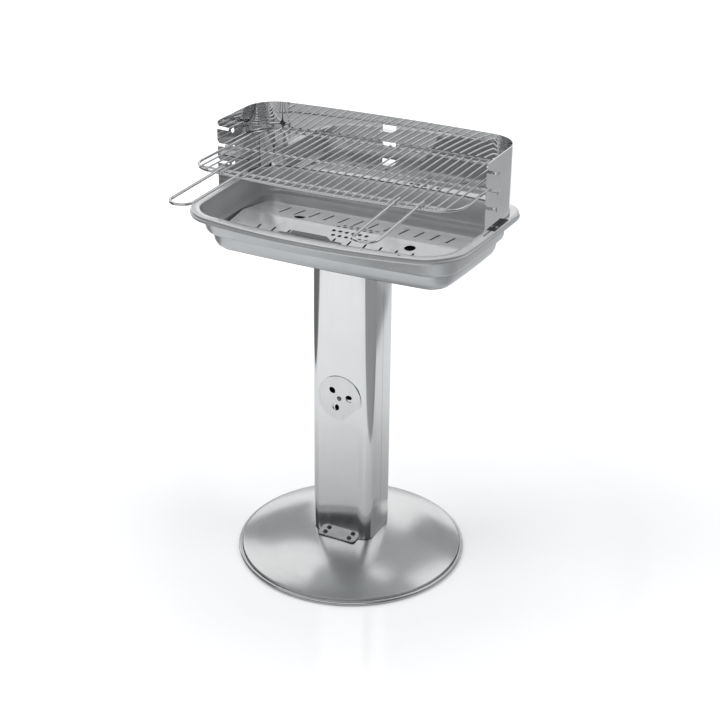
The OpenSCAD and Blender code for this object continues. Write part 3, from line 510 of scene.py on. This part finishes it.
def add_shaded_paper():
    """Paper near the foot gets less light, so the metal mirrors it darker there."""
    bpy.ops.mesh.primitive_circle_add(
        vertices=SHADE_SIDES, radius=SHADE_R, fill_type="NGON", location=(0, 0, SHADE_Z)
    )
    o = bpy.context.object
    o.name = "paper_near_foot"
    mat, t, bsdf = matte("paper_near_foot_matte", SHADE_GREY, SHADE_VARY, SHADE_CLOUD)
    t.put(bsdf.inputs["Alpha"], t.remap(t.distance(), (SHADE_START, SHADE_R), (SHADE_MOST, 0.0)))
    o.data.materials.append(mat)
    only_mirrored(o)


def lamp(name, place, aim, sides, watts):
    """A square lamp that mirrors don't show."""
    data = bpy.data.lights.new(name, "AREA")
    data.shape = "RECTANGLE"
    data.size, data.size_y = sides
    data.energy = watts
    o = bpy.data.objects.new(name, data)
    o.location = place
    o.rotation_euler = (Vector(place) - Vector(aim)).to_track_quat("Z", "Y").to_euler()
    o.visible_glossy = False
    bpy.context.scene.collection.objects.link(o)


def revolve(name, profile, steps, mat):
    """A closed profile of (radius, height) points turned round Z."""
    bm = bmesh.new()
    turn = [2 * math.pi * k / steps for k in range(steps)]
    rings = []
    for r, z in profile:
        if r == 0:
            rings.append([bm.verts.new((0, 0, z))] * steps)
        else:
            rings.append([bm.verts.new((r * math.cos(a), r * math.sin(a), z)) for a in turn])
    for i, low in enumerate(rings):
        high = rings[(i + 1) % len(rings)]
        for k in range(steps):
            after = (k + 1) % steps
            # a point on the axis comes twice, and makes the face a triangle
            corners = list(dict.fromkeys((low[k], low[after], high[after], high[k])))
            if len(corners) > 2:
                bm.faces.new(corners)
    bmesh.ops.recalc_face_normals(bm, faces=bm.faces)
    mesh = bpy.data.meshes.new(name)
    bm.to_mesh(mesh)
    bm.free()
    for f in mesh.polygons:
        f.use_smooth = True
    mesh.set_sharp_from_angle(angle=math.radians(FOOT_SOFT_BELOW))
    mesh.materials.append(mat)
    o = bpy.data.objects.new(name, mesh)
    bpy.context.scene.collection.objects.link(o)
    return o


def arc(centre, radius, start, end, steps, first=0):
    """Points round a centre from one angle to another."""
    angles = [start + (end - start) * k / steps for k in range(first, steps + 1)]
    return [(centre[0] + radius * math.cos(a), centre[1] + radius * math.sin(a)) for a in angles]


def foot_profile():
    """The closed outline of the foot's sheet: over the dome, round the bead and back underneath."""
    width = DOME_EDGE - DOME_START
    edge_z = FOOT_TOP - DOME_DROP
    dome = [
        (DOME_START + width * k / DOME_STEPS, FOOT_TOP - DOME_DROP * (k / DOME_STEPS) ** DOME_POWER)
        for k in range(DOME_STEPS + 1)
    ]
    steep = math.pi / 2 - math.atan(DOME_DROP * DOME_POWER / width)
    bend_at = (DOME_EDGE - BEND_R * math.cos(steep), edge_z - BEND_R * math.sin(steep))
    bend = arc(bend_at, BEND_R, steep, 0, BEND_STEPS, 1)
    skirt = bend[-1][0]
    bead_at = (FOOT_R - BEAD_R, BEAD_R - BEAD_FLAT)
    bead_top = math.acos((skirt - bead_at[0]) / BEAD_R)
    bead_low = -math.asin(bead_at[1] / BEAD_R)
    bead = arc(bead_at, BEAD_R, bead_top, bead_low, BEAD_STEPS)
    tuck = arc(bead_at, BEAD_R, -math.pi - bead_low, BEAD_END, TUCK_STEPS)
    inner = skirt - FOOT_WALL
    inside = [(inner, tuck[-1][1] + INNER_STEP), (inner, edge_z - INNER_DROP)]
    under = [(r, z - FOOT_WALL) for r, z in reversed(dome) if r < inner - INNER_STEP]
    return [(0, FOOT_TOP)] + dome + bend + bead + tuck + inside + under + [(0, FOOT_TOP - FOOT_WALL)]


add_camera()
add_world()
add_floor()
for row in LAMPS:
    lamp(*row)
for row in FLATS:
    flat(*row)
for row in CARDS:
    card(*row)
add_shaded_paper()

metals = {key: steel(**look) for key, look in METALS.items()}
for key, names in SOLIDS.items():
    for node in names:
        paint(node, metals[key])
for node in NODES:
    smooth(node)

# The foot with a soft bend, instead of the edge of a pressed platform
foot = revolve("foot", foot_profile(), TURN_STEPS, metals["base"])
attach(foot, "stand")
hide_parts("base_disc")
